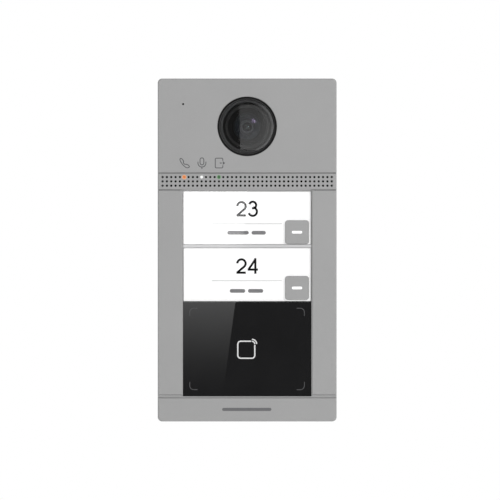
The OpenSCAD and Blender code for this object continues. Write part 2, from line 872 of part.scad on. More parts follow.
module rear_cover() {
    color(jet) difference() {
        union() {
            difference() {
                at(0, cover_d, 0) panel(cover_half_w, -cover_half_h, cover_half_h,
                    rim_d - cover_d, cover_r);
                at(0, cover_d - CUT, 0) panel(cover_half_w - cover_wall,
                    cover_wall - cover_half_h, cover_half_h - cover_wall,
                    back_d - cover_d + CUT, 0.6);
                at(0, back_d + back_t, 0) panel(cover_half_w - cover_wall,
                    cover_wall - cover_half_h, cover_half_h - cover_wall, 6, 0.6);
            }
            box_pocket(0, 2 * well_half_w, well_low, well_top, well_d, well_wall);
            both_sides() box_pocket(hook_x, hook_w + 1.6, hook_z - 4.2, hook_z + 5.2,
                hook_tip_d - 0.3, 1.2);
            box_pocket(0, lock_tab_w + 2, 1.2 - cover_half_h, lock_tab_z + 1.2,
                lock_tab_d - 0.8, 1.2);
            for (z = cover_screw_z)
                both_sides() at(cover_screw_x, cover_d, z) rod(post_r, back_d - cover_d + 0.2);
            at(tamper_x, back_d, tamper_z) rod(3.6, back_t + 2);
        }
        block(-well_half_w, well_half_w, well_d, body_d, well_low, well_top);
        // cut-outs in the well's floor for the jack and the terminal block
        block(jack_x - jack_w / 2 - 0.3, jack_x + jack_w / 2 + 0.3, cover_d, body_d,
            jack_low - 0.3, jack_low + jack_h + 0.3);
        block(block_x - 0.3, block_x + block_w + 0.3, cover_d, body_d,
            block_low - 0.3, block_low + (block_poles + 0.2) * block_pitch + 0.3);
        both_sides() {
            block(hook_x - hook_w / 2 - 0.8, hook_x + hook_w / 2 + 0.8, hook_tip_d - 0.3,
                back_d, hook_z - 4.2, hook_z + 5.2);
            block(hook_x - hook_w / 2 - 0.8, hook_x + hook_w / 2 + 0.8, back_d - CUT,
                body_d, hook_z + plate_t + 0.05 - hook_slot_h, hook_z + plate_t + 0.05);
        }
        block(-lock_tab_w / 2 - 1, lock_tab_w / 2 + 1, lock_tab_d - 0.8, body_d,
            cover_wall - cover_half_h, lock_tab_z + 1.2);
        at(0, lock_d, -cover_half_h - CUT) cylinder(r = lock_r + 0.15, h = 4 * CUT);
        at(0, lock_d, -cover_half_h - CUT) cylinder(r = 2.9, h = 0.8 + CUT);
        for (z = cover_screw_z) both_sides() {
            at(cover_screw_x, cover_d - CUT, z) rod(1.6, back_d);
            at(cover_screw_x, back_d + 0.4, z) rod(2.7, back_t);
        }
        at(tamper_x, back_d - CUT, tamper_z) rod(tamper_r + tamper_fit, back_t + 4);
    }
}

module housing_gasket() {
    color(jet) at(0, front_deep, 0) difference() {
        panel(cover_half_w, -cover_half_h, cover_half_h, gasket_t, cover_r);
        translate([0, -CUT, 0]) panel(cover_half_w - cover_wall,
            cover_wall - cover_half_h, cover_half_h - cover_wall, gasket_t + 2 * CUT, 0.6);
    }
}

// A small pan-head screw whose head sits at the given depth
module pan_screw(head_d, tip_d, shaft_r, head_r, head_t) {
    difference() {
        turned([[0, tip_d], [shaft_r * 0.6, tip_d], [shaft_r, tip_d + 0.6],
            [shaft_r, head_d], [head_r, head_d], [head_r, head_d + head_t * 0.6],
            [head_r * 0.8, head_d + head_t], [0, head_d + head_t]], 32);
        translate([-head_r * 0.6, head_d + head_t * 0.5, -0.25])
            cube([head_r * 1.2, head_t, 0.5]);
        translate([-0.25, head_d + head_t * 0.5, -head_r * 0.6])
            cube([0.5, head_t, head_r * 1.2]);
    }
}

module cover_screws() {
    color(steel) for (z = cover_screw_z)
        both_sides() at(cover_screw_x, 0, z) pan_screw(back_d + 0.4, 7.9, 1.45, 2.5, 1.5);
}

module board_screws() {
    color(steel) {
        for (z = board_screw_z)
            both_sides() at(board_screw_x, 0, z) pan_screw(board_back, 10, 1.2, 2, 1.4);
        for (z = [-camera_screw, camera_screw])
            both_sides() at(camera_screw, 0, camera_z + z) pan_screw(17.2, 12, 1.2, 2, 1.4);
    }
}

// --- tamper contact ---

module tamper_plunger() {
    collar_t = 0.8;
    color("ivory") at(tamper_x, 0, tamper_z) {
        turned([[0, 17.5], [tamper_r, 17.5], [tamper_r, tamper_collar_d], [4.2, tamper_collar_d],
            [4.2, tamper_collar_d + collar_t], [tamper_r, tamper_collar_d + collar_t],
            [tamper_r, plate_d - 0.6], [tamper_r - 0.5, plate_d - 0.05],
            [0, plate_d - 0.05]], 48);
        translate([-0.4, 15.6, -1.2]) cube([0.8, 2.1, 2.4]);
    }
}

module tamper_spring() {
    low = board_back + 0.3;
    rise = tamper_collar_d - low - 2 * spring_wire_r - 0.05;
    rings = spring_turns * spring_steps;
    ring_at = function(i) [for (k = [0:spring_sides - 1])
        let (turn = 360 * i / spring_steps, a = 360 * k / spring_sides,
            r = spring_r + spring_wire_r * cos(a))
        [r * cos(turn), r * sin(turn),
            low + spring_wire_r + rise * i / rings + spring_wire_r * sin(a)]];
    points = [for (i = [0:rings]) each ring_at(i)];
    sides = [for (i = [0:rings - 1], k = [0:spring_sides - 1])
        let (a = i * spring_sides, next = (k + 1) % spring_sides)
        [a + k, a + next, a + spring_sides + next, a + spring_sides + k]];
    first_end = [for (k = [spring_sides - 1:-1:0]) k];
    last_end = [for (k = [0:spring_sides - 1]) rings * spring_sides + k];
    color(steel) at(tamper_x, 0, tamper_z) rotate([-90, 0, 0])
        polyhedron(points, concat(sides, [first_end, last_end]));
}

// --- wall plate ---

module mounting_plate() {
    color(steel) difference() {
        union() {
            at(0, plate_d, 0) panel(plate_half_w, -plate_half_h, plate_half_h, plate_t, 3);
            both_sides() {
                block(hook_x - hook_w / 2, hook_x + hook_w / 2, hook_tip_d, plate_d + 0.2,
                    hook_z, hook_z + plate_t);
                block(hook_x - hook_w / 2, hook_x + hook_w / 2, hook_tip_d,
                    hook_tip_d + plate_t, hook_z, hook_z + hook_rise);
            }
            block(-lock_tab_w / 2, lock_tab_w / 2, lock_tab_d, plate_d + 0.2,
                lock_tab_z - plate_t, lock_tab_z);
        }
        block(-well_half_w - 0.5, well_half_w + 0.5, plate_d - CUT, body_d + CUT,
            well_low - 0.5, well_top + 0.5);
        for (x = [-1, 1], z = [-1, 1])
            at(x * screw_span_x / 2, plate_d - CUT, z * screw_span_z / 2)
                rod(screw_hole_r, plate_t + 2 * CUT);
        both_sides() at(box_span / 2, plate_d - CUT, 0)
            thick(plate_t + 2 * CUT) stadium(box_slot + 2 * box_slot_r, 2 * box_slot_r);
        at(0, lock_d, lock_tab_z - plate_t - CUT) cylinder(r = lock_r + 0.05, h = plate_t + 2 * CUT);
    }
}

module wall_gasket() {
    rim = cover_wall - 0.2;
    color(jet) at(0, rim_d, 0) difference() {
        panel(cover_half_w, -cover_half_h, cover_half_h, body_d - rim_d, cover_r);
        translate([0, -CUT, 0]) panel(cover_half_w - rim, rim - cover_half_h,
            cover_half_h - rim, body_d - rim_d + 2 * CUT, 0.6);
    }
}

module lock_screw() {
    head_z = -cover_half_h - 0.7;
    color(steel) at(0, lock_d, head_z) difference() {
        union() {
            cylinder(r = 2.6, h = 1.5);
            cylinder(r = lock_r, h = 8.6);
        }
        translate([0, 0, -CUT]) cylinder(r = 1.2, h = 0.8 + CUT, $fn = 6);
    }
}

upper_fascia();
grille_bar();
lower_fascia();
bottom_trim();
inner_frame();
fascia_screws();
camera_bezel();
camera_window();
camera_seal();
camera_shroud();
lens_barrel();
lens_front_element();
lens_holder();
image_sensor();
camera_board();
camera_flex();
microphone();
microphone_boot();
speaker_frame();
speaker_cone();
speaker_magnet();
speaker_gasket();
grille_mesh();
indicator_guide(0);  // indicator_guide_call
indicator_guide(1);  // indicator_guide_talk
indicator_guide(2);  // indicator_guide_unlock
indicator_leds();
name_window(rib_top + 0.05, window_top - 0.1, button_upper_z);  // name_window_upper
name_window(reader_top + 0.05, rib_low - 0.05, button_lower_z);  // name_window_lower
name_card(rib_top, window_top, button_upper_z);  // name_card_upper
name_card(reader_top + 0.1, rib_low, button_lower_z);  // name_card_lower
name_diffuser(rib_top, window_top, button_upper_z);  // name_diffuser_upper
name_diffuser(reader_top + 0.1, rib_low, button_lower_z);  // name_diffuser_lower
label_tray();
front_board();
button_switches();
call_button(button_upper_z);  // call_button_upper
call_button(button_lower_z);  // call_button_lower
light_bar(button_upper_z);  // light_bar_upper
light_bar(button_lower_z);  // light_bar_lower
switch_plunger(button_upper_z);  // switch_plunger_upper
switch_plunger(button_lower_z);  // switch_plunger_lower
return_pad(button_upper_z);  // return_pad_upper
return_pad(button_lower_z);  // return_pad_lower
reader_window();
reader_board();
antenna_coil();
main_board();
board_parts();
ethernet_port();
terminal_block();
rear_cover();
housing_gasket();
cover_screws();
board_screws();
tamper_plunger();
tamper_spring();
mounting_plate();
wall_gasket();
lock_screw();
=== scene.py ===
"""Door intercom panel: materials, prints, camera and studio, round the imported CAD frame.

Metres, in the frame's own axes: the front faces -Y, +Z is up. Outlines and turned profiles
are in millimetres, and are scaled once when they are built: outlines as (across, up) points,
and depths counted backwards from the front face.
"""
import bmesh
import bpy
import json
import math
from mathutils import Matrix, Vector


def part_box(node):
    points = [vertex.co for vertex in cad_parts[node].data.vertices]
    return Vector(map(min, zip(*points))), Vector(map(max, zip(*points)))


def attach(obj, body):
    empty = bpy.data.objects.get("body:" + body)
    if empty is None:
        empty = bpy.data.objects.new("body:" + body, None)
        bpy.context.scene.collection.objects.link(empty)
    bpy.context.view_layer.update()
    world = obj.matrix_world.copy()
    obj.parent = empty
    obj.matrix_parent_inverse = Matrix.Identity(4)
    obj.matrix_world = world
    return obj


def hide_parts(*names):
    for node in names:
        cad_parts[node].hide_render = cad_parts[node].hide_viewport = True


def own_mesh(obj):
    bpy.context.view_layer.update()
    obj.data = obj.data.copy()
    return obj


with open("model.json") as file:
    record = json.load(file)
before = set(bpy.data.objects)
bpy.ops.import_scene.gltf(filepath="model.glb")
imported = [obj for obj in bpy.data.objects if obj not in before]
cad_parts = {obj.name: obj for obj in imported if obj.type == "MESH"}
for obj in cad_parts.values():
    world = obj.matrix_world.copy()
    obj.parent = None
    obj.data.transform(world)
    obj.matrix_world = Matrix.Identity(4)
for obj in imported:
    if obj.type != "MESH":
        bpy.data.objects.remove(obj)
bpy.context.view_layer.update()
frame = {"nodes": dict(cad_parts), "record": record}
nodes = frame["nodes"]

MM = 0.001
BODY = "housing"
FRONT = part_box("upper_fascia")[0].y


def centre_of(node):
    """The middle of a CAD node's box, in metres."""
    low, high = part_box(node)
    return (low + high) / 2


# ---------------------------------------------------------------- shader building

# A Mix node's sockets for colours.
COLOUR_A, COLOUR_B, COLOUR_OUT = 6, 7, 2


class Graph:
    """A node tree built node by node. An input is a value, a node or a socket."""

    def __init__(self, tree):
        self.tree = tree
        self.tree.nodes.clear()

    def add(self, kind, sockets=None, **settings):
        """A node of that kind, with its settings and with what goes into its sockets."""
        node = self.tree.nodes.new("ShaderNode" + kind)
        for name, value in settings.items():
            setattr(node, name, value)
        for name, value in (sockets or {}).items():
            self.plug(node.inputs[name], value)
        return node

    def plug(self, socket, value):
        """Feeds a socket, or sets it where value is neither a node nor a socket."""
        if isinstance(value, bpy.types.Node):
            value = value.outputs[0]
        if isinstance(value, bpy.types.NodeSocket):
            self.tree.links.new(value, socket)
        else:
            socket.default_value = value

    def end(self, kind, shader):
        """The output node of that kind, fed by shader."""
        self.plug(self.add(kind).inputs["Surface"], shader)


class Shader(Graph):
    """A material, textured in metres on the object."""

    def __init__(self, name):
        self.material = bpy.data.materials.new(name)
        self.material.use_nodes = True
        super().__init__(self.material.node_tree)

    def place(self, stretch=(1, 1, 1)):
        """Coordinates in metres on the object, each axis squeezed by its factor."""
        coords = self.add("TexCoord").outputs["Object"]
        if stretch == (1, 1, 1):
            return coords
        return self.add("Mapping", {"Vector": coords, "Scale": stretch})

    def noise(self, size, detail=2.0, stretch=(1, 1, 1)):
        """Noise whose blobs measure about size metres."""
        return self.add("TexNoise", {"Vector": self.place(stretch), "Scale": 1 / size,
                                     "Detail": detail, "Roughness": 0.55})

    def cells(self, size, feature="F1"):
        """Cells that measure about size metres."""
        return self.add("TexVoronoi", {"Vector": self.place(), "Scale": 1 / size},
                        feature=feature)

    def ramp(self, factor, low, high, start=0.3, end=0.7):
        """Two colours, from low at start to high at end."""
        node = self.add("ValToRGB", {"Fac": factor})
        first, last = node.color_ramp.elements
        first.position, last.position = start, end
        first.color, last.color = rgba(low), rgba(high)
        return node

    def span(self, factor, low, high):
        """factor from 0.3 to 0.7 mapped to low and high."""
        return self.add("MapRange", {"Value": factor, "From Min": 0.3, "From Max": 0.7,
                                     "To Min": low, "To Max": high})

    def relief(self, height, depth, strength=1.0):
        """A bump whose height of 1 stands depth metres proud."""
        return self.add("Bump", {"Height": height, "Distance": depth, "Strength": strength})

    def finish(self, shader):
        """The material, with shader as its surface."""
        self.end("OutputMaterial", shader)
        return self.material

    def principled(self, **sockets):
        """The material as one principled surface, its inputs named with underscores."""
        named = {key.replace("_", " "): value for key, value in sockets.items()}
        return self.finish(self.add("BsdfPrincipled", named))


def rgba(colour):
    """Four channels from a grey level or from three channels."""
    if isinstance(colour, (int, float)):
        colour = (colour,) * 3
    return (*colour, 1.0)


def toned(colour, factor):
    """A grey level or three channels, made lighter or darker."""
    if isinstance(colour, (int, float)):
        return colour * factor
    return tuple(channel * factor for channel in colour)


def textured(name, colour, roughness, grain, depth, spread=0.03, blotch=0.02, **sockets):
    """The common recipe: tone that varies by spread in blotches, and a fine grain in gloss
    and relief. Blotch, grain and depth are in metres."""
    shader = Shader(name)
    broad = shader.noise(blotch, 3)
    fine = shader.noise(grain, 2)
    tone = shader.ramp(broad, toned(colour, 1 - spread), toned(colour, 1 + spread))
    gloss = shader.span(fine, roughness * 0.9, min(1, roughness * 1.1))
    return shader.principled(Base_Color=tone, Roughness=gloss,
                             Normal=shader.relief(fine, depth), **sockets)


# ---------------------------------------------------------------- materials

BODY_GREY = (0.306, 0.306, 0.306)
# Painted shade: the near black given to the walls of drilled holes.
HOLE_SHADE_GREY = 0.01        # the walls of drilled holes


def painted_hole_shade(shader, middle, half_width, half_height):
    """Where shade is painted: 1 on the walls of holes drilled through the front near middle,
    0 elsewhere. A wall's normal hardly points to the front."""
    normal = shader.add("NewGeometry").outputs["True Normal"]
    facing = shader.add("SeparateXYZ", {"Vector": normal})
    place = shader.add("SeparateXYZ", {"Vector": shader.place()})
    most_forward = 0.5
    limits = ((facing.outputs["Y"], 0, most_forward), (place.outputs["X"], middle.x, half_width),
              (place.outputs["Z"], middle.z, half_height))
    share = 1.0
    for value, centre, reach in limits:
        inside = shader.add("Math", {0: value, 1: centre, 2: reach}, operation="COMPARE")
        share = shader.add("Math", {0: inside, 1: share}, operation="MULTIPLY")
    return share


def fine_paint(name, colour, drilled=None):
    """Satin metallic paint: soft orange peel under a fine sparkle of flakes. The walls of
    drilled holes are painted near black, as painted shade."""
    shader = Shader(name)
    peel = shader.noise(0.0012, 2)
    flakes = shader.cells(0.00012)
    broad = shader.noise(0.03, 2)
    tone = shader.ramp(broad, toned(colour, 0.985), toned(colour, 1.015))
    sparkle = shader.ramp(flakes.outputs["Distance"], 1.0, 0.93, 0.1, 0.6)
    mixed = shader.add("Mix", {0: 1.0, COLOUR_A: tone, COLOUR_B: sparkle}, data_type="RGBA",
                       blend_type="MULTIPLY").outputs[COLOUR_OUT]
    # Painted shade: the walls of the holes are darkened to near black.
    if drilled:
        walls = painted_hole_shade(shader, *drilled)
        mixed = shader.add("Mix", {0: walls, COLOUR_A: mixed, COLOUR_B: rgba(HOLE_SHADE_GREY)},
                           data_type="RGBA").outputs[COLOUR_OUT]
    gloss = shader.span(flakes.outputs["Distance"], 0.42, 0.5)
    bump = shader.relief(peel, 0.000006)
    return shader.principled(Base_Color=mixed, Roughness=gloss, Normal=bump)


def moulded(name, colour, roughness=0.45):
    """Plastic from an etched tool: shallow pebbles over faint flow marks."""
    shader = Shader(name)
    pebbles = shader.cells(0.00045, "SMOOTH_F1")
    flow = shader.noise(0.02, 3, (1, 1, 0.3))
    tone = shader.ramp(flow, toned(colour, 0.92), toned(colour, 1.08))
    gloss = shader.span(flow, roughness * 0.92, roughness * 1.08)
    bump = shader.relief(pebbles.outputs["Distance"], 0.00002, 0.6)
    return shader.principled(Base_Color=tone, Roughness=gloss, Normal=bump)


def soft_rubber(name, colour):
    """Moulded rubber with a dusty bloom in its hollows."""
    return textured(name, colour, 0.78, 0.0003, 0.00002, spread=0.25, blotch=0.004)


def plated_steel(name, colour, size):
    """Zinc-plated steel: crystals of slightly different tone and gloss."""
    shader = Shader(name)
    crystals = shader.cells(size)
    shade = shader.add("SeparateColor", {"Color": crystals.outputs["Color"]})
    tone = shader.ramp(shade.outputs[0], toned(colour, 0.95), toned(colour, 1.03), 0, 1)
    gloss = shader.span(shade.outputs[1], 0.3, 0.36)
    haze = shader.noise(0.0002, 2, (1, 1, 0.15))
    return shader.principled(Base_Color=tone, Roughness=gloss, Metallic=1.0,
                             Normal=shader.relief(haze, 0.000003))


def bright_metal(name, colour, roughness):
    """Drawn or stamped metal: fine lines along one way."""
    shader = Shader(name)
    lines = shader.noise(0.00015, 3, (0.12, 1, 1))
    tone = shader.ramp(lines, toned(colour, 0.94), toned(colour, 1.04))
    gloss = shader.span(lines, roughness * 0.8, roughness * 1.2)
    return shader.principled(Base_Color=tone, Roughness=gloss, Metallic=1.0,
                             Normal=shader.relief(lines, 0.000002))


def circuit_board(name):
    """Green solder mask over straight copper tracks."""
    shader = Shader(name)
    bricks = shader.add("TexBrick", {
        "Vector": shader.place(), "Scale": 180.0, "Mortar Size": 0.03,
        "Color1": rgba((0.012, 0.09, 0.035)), "Color2": rgba((0.016, 0.11, 0.045)),
        "Mortar": rgba((0.05, 0.21, 0.09))})
    bump = shader.relief(bricks.outputs["Fac"], 0.00003)
    gloss = shader.span(shader.noise(0.004), 0.28, 0.4)
    return shader.principled(Base_Color=bricks.outputs["Color"], Roughness=gloss, Normal=bump)


def speaker_cloth(name):
    """Black woven cloth: two crossing sets of threads."""
    shader = Shader(name)
    threads = 900.0
    across = shader.add("TexWave", {"Vector": shader.place(), "Scale": threads},
                        bands_direction="X")
    upward = shader.add("TexWave", {"Vector": shader.place(), "Scale": threads},
                        bands_direction="Z")
    weave = shader.add("Math", {0: across.outputs["Fac"], 1: upward.outputs["Fac"]},
                       operation="MULTIPLY")
    tone = shader.ramp(weave, 0.002, 0.009, 0.1, 0.9)
    return shader.principled(Base_Color=tone, Roughness=0.9, Sheen_Weight=0.1,
                             Specular_IOR_Level=0.1, Normal=shader.relief(weave, 0.00003))


def clear_sheet(name, tint, ior, haze, coating=1.0):
    """A clear panel: light is tinted and reflected where it enters, and leaves freely."""
    shader = Shader(name)
    smear = shader.noise(0.01, 3)
    gloss = shader.add("BsdfGlossy", {"Color": rgba(coating),
                                      "Roughness": shader.span(smear, haze / 2, haze)})
    inside = shader.add("NewGeometry").outputs["Backfacing"]
    twice = tuple(channel * channel for channel in rgba(tint)[:3])
    clear = shader.add("BsdfTransparent", {"Color": shader.ramp(inside, twice, 1.0, 0, 1)})
    fresnel = shader.add("Fresnel", {"IOR": ior})
    outside = shader.add("Math", {0: 1.0, 1: inside}, operation="SUBTRACT")
    share = shader.add("Math", {0: fresnel, 1: outside}, operation="MULTIPLY")
    return shader.finish(shader.add("MixShader", {0: share, 1: clear, 2: gloss}))


def dark_glass(name, colour, roughness):
    """Deep glass that shows only its reflections over a very dark body."""
    return textured(name, colour, roughness, 0.002, 0.0, spread=0.2, blotch=0.002,
                    Specular_IOR_Level=1.0)


def lit(name, colour, strength, base=0.8):
    """A light guide that glows in its lamp's colour, a little uneven like frosted plastic."""
    shader = Shader(name)
    frost = shader.noise(0.0004, 2)
    tone = shader.ramp(frost, toned(base, 0.95), base)
    return shader.principled(Base_Color=tone, Roughness=shader.span(frost, 0.25, 0.4),
                             Emission_Color=rgba(colour), Emission_Strength=strength)


def backlit_card(name):
    """White printed film over a diffuser, lit from behind, with a faint fibre. The glow is partly
    the backlight and partly painted light: it is strong over a dim base, so shadows on the card
    fade.
    """
    shader = Shader(name)
    fibre = shader.noise(0.0005, 3, (0.4, 1, 1))
    tone = shader.ramp(fibre, 0.42, 0.46)
    return shader.principled(Base_Color=tone, Roughness=0.75, Emission_Color=rgba(1.0),
                             Emission_Strength=0.6, Normal=shader.relief(fibre, 0.000004))


def ink(name, colour):
    """Matte screen-printed ink, slightly uneven where the mesh laid it down. The same recipe
    also paints the shade in the network port's slots.
    """
    return textured(name, colour, 0.7, 0.0001, 0.000002, spread=0.05, blotch=0.0008,
                    Specular_IOR_Level=0.1)


MATERIALS = {
    "metal_front": fine_paint("satin_grey_paint", BODY_GREY),
    "button_metal": fine_paint("button_paint", BODY_GREY),
    "black_plastic": moulded("black_abs", (0.012, 0.012, 0.013)),
    "grey_plastic": textured("lens_shroud_grey", (0.012, 0.012, 0.013), 0.7, 0.0003, 0.000005,
                             Specular_IOR_Level=0.1),
    "white_plastic": moulded("white_abs", (0.78, 0.78, 0.76)),
    "gloss_black": textured("black_reader_glass", (0.0098, 0.0098, 0.0102), 0.004, 0.003,
                            0.0, spread=0.1, Specular_IOR_Level=0.5),
    "bezel": moulded("bezel_satin", (0.045, 0.046, 0.047), 0.4),
    "clear_window": clear_sheet("clear_acrylic", 0.985, 1.45, 0.03),
    "lens_glass": clear_sheet("coated_lens", (0.93, 0.98, 0.975), 1.5, 0.17, (0.27, 0.21, 0.36)),
    "light_guide": lit("clear_light_guide", 1.0, 0.15),
    "card_white": backlit_card("name_card_film"),
    "rubber_black": soft_rubber("black_rubber", (0.012, 0.012, 0.012)),
    "silicone": soft_rubber("grey_silicone", (0.45, 0.45, 0.44)),
    "speaker_cloth": speaker_cloth("woven_speaker_cloth"),
    "circuit_board": circuit_board("solder_mask"),
    "chips": textured("chip_epoxy", (0.014, 0.014, 0.015), 0.55, 0.0002, 0.00001,
                      spread=0.15),
    "copper": bright_metal("copper_foil", (0.75, 0.38, 0.2), 0.3),
    "flex_amber": textured("flex_film", (0.42, 0.17, 0.03), 0.3, 0.0006, 0.00001,
                           spread=0.1),
    "steel": plated_steel("zinc_plated_steel", (0.6, 0.6, 0.6), 0.0018),
    "tinned": bright_metal("tinned_steel", (0.72, 0.71, 0.7), 0.22),
    "terminal_green": moulded("terminal_green", (0.015, 0.16, 0.05), 0.4),
}

# The light guides sit in the top one of the grille's three rows of holes. The fields in
# which the walls of holes get painted shade have half widths and half heights.
GRILLE_ROW = 2.165 * MM
GRILLE_MIDDLE = Vector((0, 0, centre_of("indicator_guide_call").z - GRILLE_ROW))
GRILLE_HALF = (43.5 * MM, 3.0 * MM)
MICROPHONE_HALF = (1.2 * MM, 1.2 * MM)

# Nodes whose look differs from that of their slot.
SPECIAL = {
    # The grille bar and the upper fascia carry painted shade on the walls of their holes.
    "grille_bar": fine_paint("hole_shaded_grey_paint", BODY_GREY,
                             (GRILLE_MIDDLE, *GRILLE_HALF)),
    "upper_fascia": fine_paint("upper_grey_paint", BODY_GREY,
                               (centre_of("microphone_boot"), *MICROPHONE_HALF)),
    "light_bar_upper": lit("bar_light_upper", 1.0, 0.3),
    "light_bar_lower": lit("bar_light_lower", 1.0, 0.3),
    "camera_window": clear_sheet("camera_glass", 0.9, 1.5, 0.02),
    "lens_barrel": textured("lens_barrel_black", (0.013, 0.015, 0.016), 0.6, 0.0003, 0.000005,
                            Specular_IOR_Level=0.1),
    # Painted shade: the white tray is given a mid grey, so the rib between the name plates looks
    # shaded.
    "label_tray": textured("tray_abs_painted_shade", (0.5, 0.5, 0.505), 0.06, 0.002, 0.0, spread=0.02),
    "microphone": textured("microphone_cloth", 0.004, 0.9, 0.0002, 0.00001,
                           Specular_IOR_Level=0.1),
    "rear_cover": moulded("rear_cover_abs", (0.018, 0.018, 0.019), 0.5),
}


def paint_nodes():
    """Gives every CAD node the material of its own or of its slot."""
    slots = {part["node"]: part["material_slot"] for part in frame["record"]["subparts"]}
    for name, obj in nodes.items():
        obj.data.materials.clear()
        obj.data.materials.append(SPECIAL.get(name) or MATERIALS[slots[name]])


# The width of the bevel on each node that shows, in millimetres.
SOFT_EDGES = {
    "upper_fascia": 0.06, "lower_fascia": 0.06, "bottom_trim": 0.06,
    "call_button_upper": 0.15, "call_button_lower": 0.15,
    "rear_cover": 0.25, "mounting_plate": 0.12, "terminal_block": 0.12,
    "ethernet_port": 0.1, "reader_window": 0.15, "name_window_upper": 0.12,
    "name_window_lower": 0.12, "wall_gasket": 0.15,
}
WELD_REACH = 0.001 * MM
SHARP_EDGE = math.radians(40)


def soften_edges():
    """Rounds the sharp edges of the CAD pieces that show, by modifiers alone."""
    for name, width in SOFT_EDGES.items():
        weld = nodes[name].modifiers.new("weld", "WELD")
        weld.merge_threshold = WELD_REACH
        bevel = nodes[name].modifiers.new("soft_edges", "BEVEL")
        bevel.width = width * MM
        bevel.segments = 2
        bevel.limit_method = "ANGLE"
        bevel.angle_limit = SHARP_EDGE
        bevel.harden_normals = True


# ---------------------------------------------------------------- meshes


def make_piece(name, verts, faces, materials, face_materials=None, smooth=False):
    """A closed mesh that rides on the housing. face_materials picks one of the materials
    for each face."""
    mesh = bpy.data.meshes.new(name)
    mesh.from_pydata(verts, [], faces)
    for material in materials:
        mesh.materials.append(material)
    if face_materials:
        mesh.polygons.foreach_set("material_index", face_materials)
    build = bmesh.new()
    build.from_mesh(mesh)
    bmesh.ops.recalc_face_normals(build, faces=build.faces)
    build.to_mesh(mesh)
    build.free()
    if smooth:
        mesh.shade_smooth()
    piece = bpy.data.objects.new(name, mesh)
    bpy.context.scene.collection.objects.link(piece)
    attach(piece, BODY)
    return piece


def arc(centre, radius, start, end, steps=10):
    """Points along an arc, in degrees, anticlockwise where end is the larger."""
    turn = [math.radians(start + (end - start) * i / steps) for i in range(steps + 1)]
    return [Vector((centre[0] + radius * math.cos(t), centre[1] + radius * math.sin(t)))
            for t in turn]


def rounded_box(centre, width, height, radius):
    """The closed outline of a box with round corners, anticlockwise."""
    points = []
    for start, side, level in ((0, 1, 1), (90, -1, 1), (180, -1, -1), (270, 1, -1)):
        corner = (centre[0] + side * (width / 2 - radius),
                  centre[1] + level * (height / 2 - radius))
        points += arc(corner, radius, start, start + 90, 6)
    return points


def smooth_loop(points, rounds=2):
    """A closed outline with its corners cut smooth."""
    for _ in range(rounds):
        count = len(points)
        points = [points[i].lerp(points[(i + 1) % count], share)
                  for i in range(count) for share in (0.25, 0.75)]
    return points


# The least cosine of half a corner's turn for which a stroke still keeps its full width.
SHARPEST = 0.6


def band(points, width, closed=False, round_ends=False):
    """Pairs of points either side of a line, which make a stroke of that width, and whether
    the stroke is closed."""
    points = [Vector(p) for p in points]
    count, pairs = len(points), []
    for i, point in enumerate(points):
        before = points[i - 1] if closed or i else point
        after = points[(i + 1) % count] if closed or i + 1 < count else point
        into, out = (point - before), (after - point)
        way = (into.normalized() + out.normalized()).normalized()
        side = Vector((-way.y, way.x))
        slant = max(into.normalized().dot(way), out.normalized().dot(way), SHARPEST)
        pairs.append((point + side * width / 2 / slant, point - side * width / 2 / slant))
    if round_ends:
        start = end_cap(points[0], points[0] - points[1], width)
        finish = end_cap(points[-1], points[-1] - points[-2], width)
        pairs = [pair[::-1] for pair in reversed(start)] + pairs + finish
    return pairs, closed


def end_cap(point, way, width, steps=5):
    """The pairs of points that round off a stroke's end. The last pair stops just short of
    the tip, so that the end face keeps a width."""
    way = way.normalized()
    side = Vector((-way.y, way.x))
    last_angle = 88
    angles = [math.radians(last_angle * (i + 1) / steps) for i in range(steps)]
    return [(point + (way * math.sin(a) + side * math.cos(a)) * width / 2,
             point + (way * math.sin(a) - side * math.cos(a)) * width / 2) for a in angles]


def bar(centre, width, height):
    """A filled bar with round ends."""
    reach = (width - height) / 2
    ends = [(centre[0] - reach, centre[1]), (centre[0] + reach, centre[1])]
    return band(ends, height, round_ends=True)


# How far each strip of a print lies behind the one before it, in millimetres.
LAYER = 0.0004


def make_print(name, bands, surface, material):
    """Thin closed strips. surface is the depth of the first one's outer face and its
    thickness. Each of the others lies a hair behind, so that no two faces coincide."""
    depth, thickness = surface
    verts, faces = [], []
    for level, (pairs, closed) in enumerate(bands):
        outer = FRONT + (depth + LAYER * level) * MM
        inner = outer + (thickness - 2 * LAYER * level) * MM
        first = len(verts)
        for left, right in pairs:
            verts += [(p.x * MM, y, p.y * MM) for y in (outer, inner) for p in (left, right)]
        count = len(pairs)
        for i in range(count if closed else count - 1):
            a, b = first + 4 * i, first + 4 * ((i + 1) % count)
            for k, m in ((0, 1), (1, 3), (3, 2), (2, 0)):
                faces.append((a + k, a + m, b + m, b + k))
        if not closed:
            last = first + 4 * (count - 1)
            faces += [(first, first + 2, first + 3, first + 1),
                      (last, last + 1, last + 3, last + 2)]
    return make_piece(name, verts, faces, [material])


def lathe(name, centre, profile, materials, steps=128):
    """A ring turned round the line through centre that runs from front to back. Each point
    of its profile is (radius, depth, material), in millimetres."""
    verts, faces, chosen = [], [], []
    for i in range(steps):
        turn = 2 * math.pi * i / steps
        verts += [(centre.x + r * MM * math.cos(turn), FRONT + d * MM,
                   centre.z + r * MM * math.sin(turn)) for r, d, _ in profile]
    count = len(profile)
    for i in range(steps):
        a, b = i * count, (i + 1) % steps * count
        for k in range(count):
            m = (k + 1) % count
            faces.append((a + k, b + k, b + m, a + m))
            chosen.append(profile[k][2])
    return make_piece(name, verts, faces, materials, chosen, smooth=True)


# ---------------------------------------------------------------- the camera

CAMERA = centre_of("camera_bezel")
POLE = 0.001            # the smallest radius of a cap, so that its faces keep four corners
RIM, STEP, CHAMFER = 0, 1, 2


